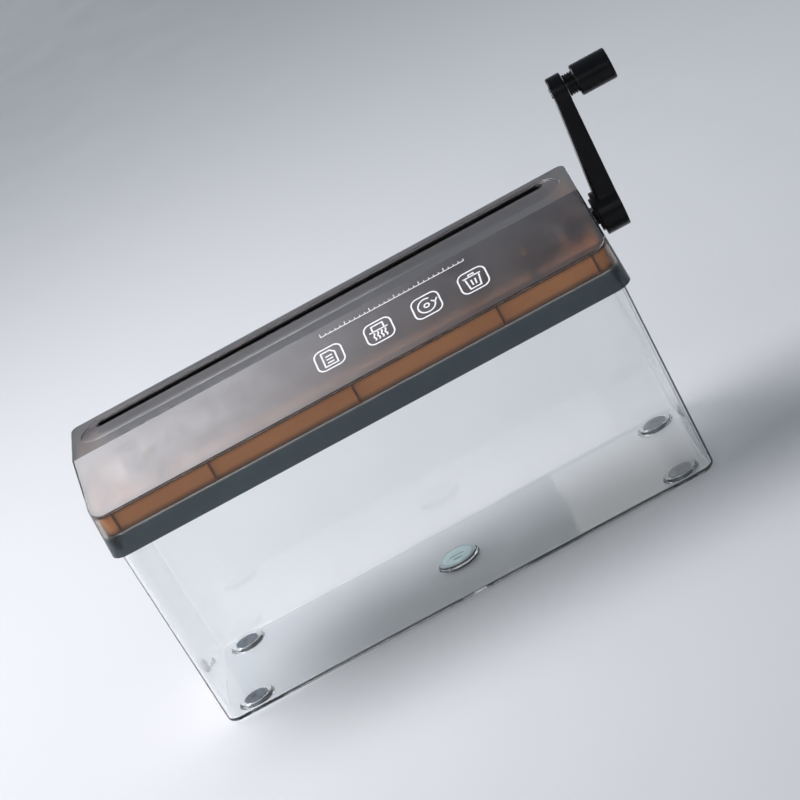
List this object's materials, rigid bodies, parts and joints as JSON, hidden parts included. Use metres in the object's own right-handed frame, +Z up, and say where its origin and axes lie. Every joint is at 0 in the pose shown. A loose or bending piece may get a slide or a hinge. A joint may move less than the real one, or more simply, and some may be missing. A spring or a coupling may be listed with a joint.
{
  "type": "hand-cranked paper shredder",
  "caption": "Hand-cranked strip-cut paper shredder: a smoked lift-off cutter head with a feed slot and a plug-in crank, on a clear rectangular waste bin with rubber feet.",
  "frame": {"origin": "on the table, under the middle of the whole object's box with the crank plugged in and pointing up", "axes": "+X along the feed slot towards the crank, +Y from the front panel to the back, +Z up"},
  "size_m": [0.3, 0.098, 0.185],
  "materials": {
    "clear_plastic": "clear, polished inside and out",
    "smoked_plastic": "smoked and see-through, polished skirt and finely textured sloping panels",
    "amber_plastic": "satin tan plastic",
    "black_plastic": "satin black",
    "comb_plastic": "dull dark grey",
    "gear_plastic": "natural acetal, satin",
    "rubber": "dull",
    "label": "pale plain sticker",
    "cutter_steel": "ground",
    "zinc_steel": "zinc plated",
    "bronze": "sintered bronze"
  },
  "bodies": {
    "bin": {"bin_shell": "clear_plastic", "foot_front_left": "rubber", "foot_front_right": "rubber", "foot_rear_left": "rubber", "foot_rear_right": "rubber", "floor_label": "label"},
    "head": {"head_shell": "smoked_plastic", "feed_guide": "black_plastic", "bottom_cover": "amber_plastic", "cover_screws": "zinc_steel", "bearing_plate_left": "zinc_steel", "bearing_plate_right": "zinc_steel", "bush_front_left": "bronze", "bush_front_right": "bronze", "bush_rear_left": "bronze", "bush_rear_right": "bronze", "comb_front": "comb_plastic", "comb_rear": "comb_plastic", "tie_rod_front": "cutter_steel", "tie_rod_rear": "cutter_steel", "tie_rod_screws": "zinc_steel"},
    "front_cutter": {"shaft_front": "cutter_steel", "cutter_discs_front": "cutter_steel", "spacers_front": "comb_plastic", "gear_front": "gear_plastic", "drive_coupler": "black_plastic", "clip_front": "zinc_steel"},
    "rear_cutter": {"shaft_rear": "cutter_steel", "cutter_discs_rear": "cutter_steel", "spacers_rear": "comb_plastic", "gear_rear": "gear_plastic", "clip_rear_left": "zinc_steel", "clip_rear_right": "zinc_steel"},
    "crank": {"crank_arm": "black_plastic", "knob_pin": "cutter_steel"},
    "knob": {"crank_knob": "black_plastic", "knob_cap": "black_plastic"}
  },
  "joints": [
    {"name": "head_lift", "type": "slide", "parent": "bin", "child": "head", "axis": [0, 0, 1], "range_m": [0, 0.06]},
    {"name": "front_cutter_spin", "type": "hinge", "parent": "head", "child": "front_cutter", "pos_m": [-0.019, 0.007, 0.117], "axis": [1, 0, 0], "continuous": true},
    {"name": "rear_cutter_spin", "type": "hinge", "parent": "head", "child": "rear_cutter", "pos_m": [-0.019, 0.027, 0.117], "axis": [1, 0, 0], "continuous": true},
    {"name": "crank_pull", "type": "slide", "parent": "front_cutter", "child": "crank", "axis": [1, 0, 0], "range_m": [0, 0.03]},
    {"name": "knob_spin", "type": "hinge", "parent": "crank", "child": "knob", "pos_m": [0.136, 0.007, 0.1775], "axis": [1, 0, 0], "continuous": true}
  ],
  "couplings": [
    {"joint": "rear_cutter_spin", "follows": "front_cutter_spin", "ratio": -1}
  ]
}
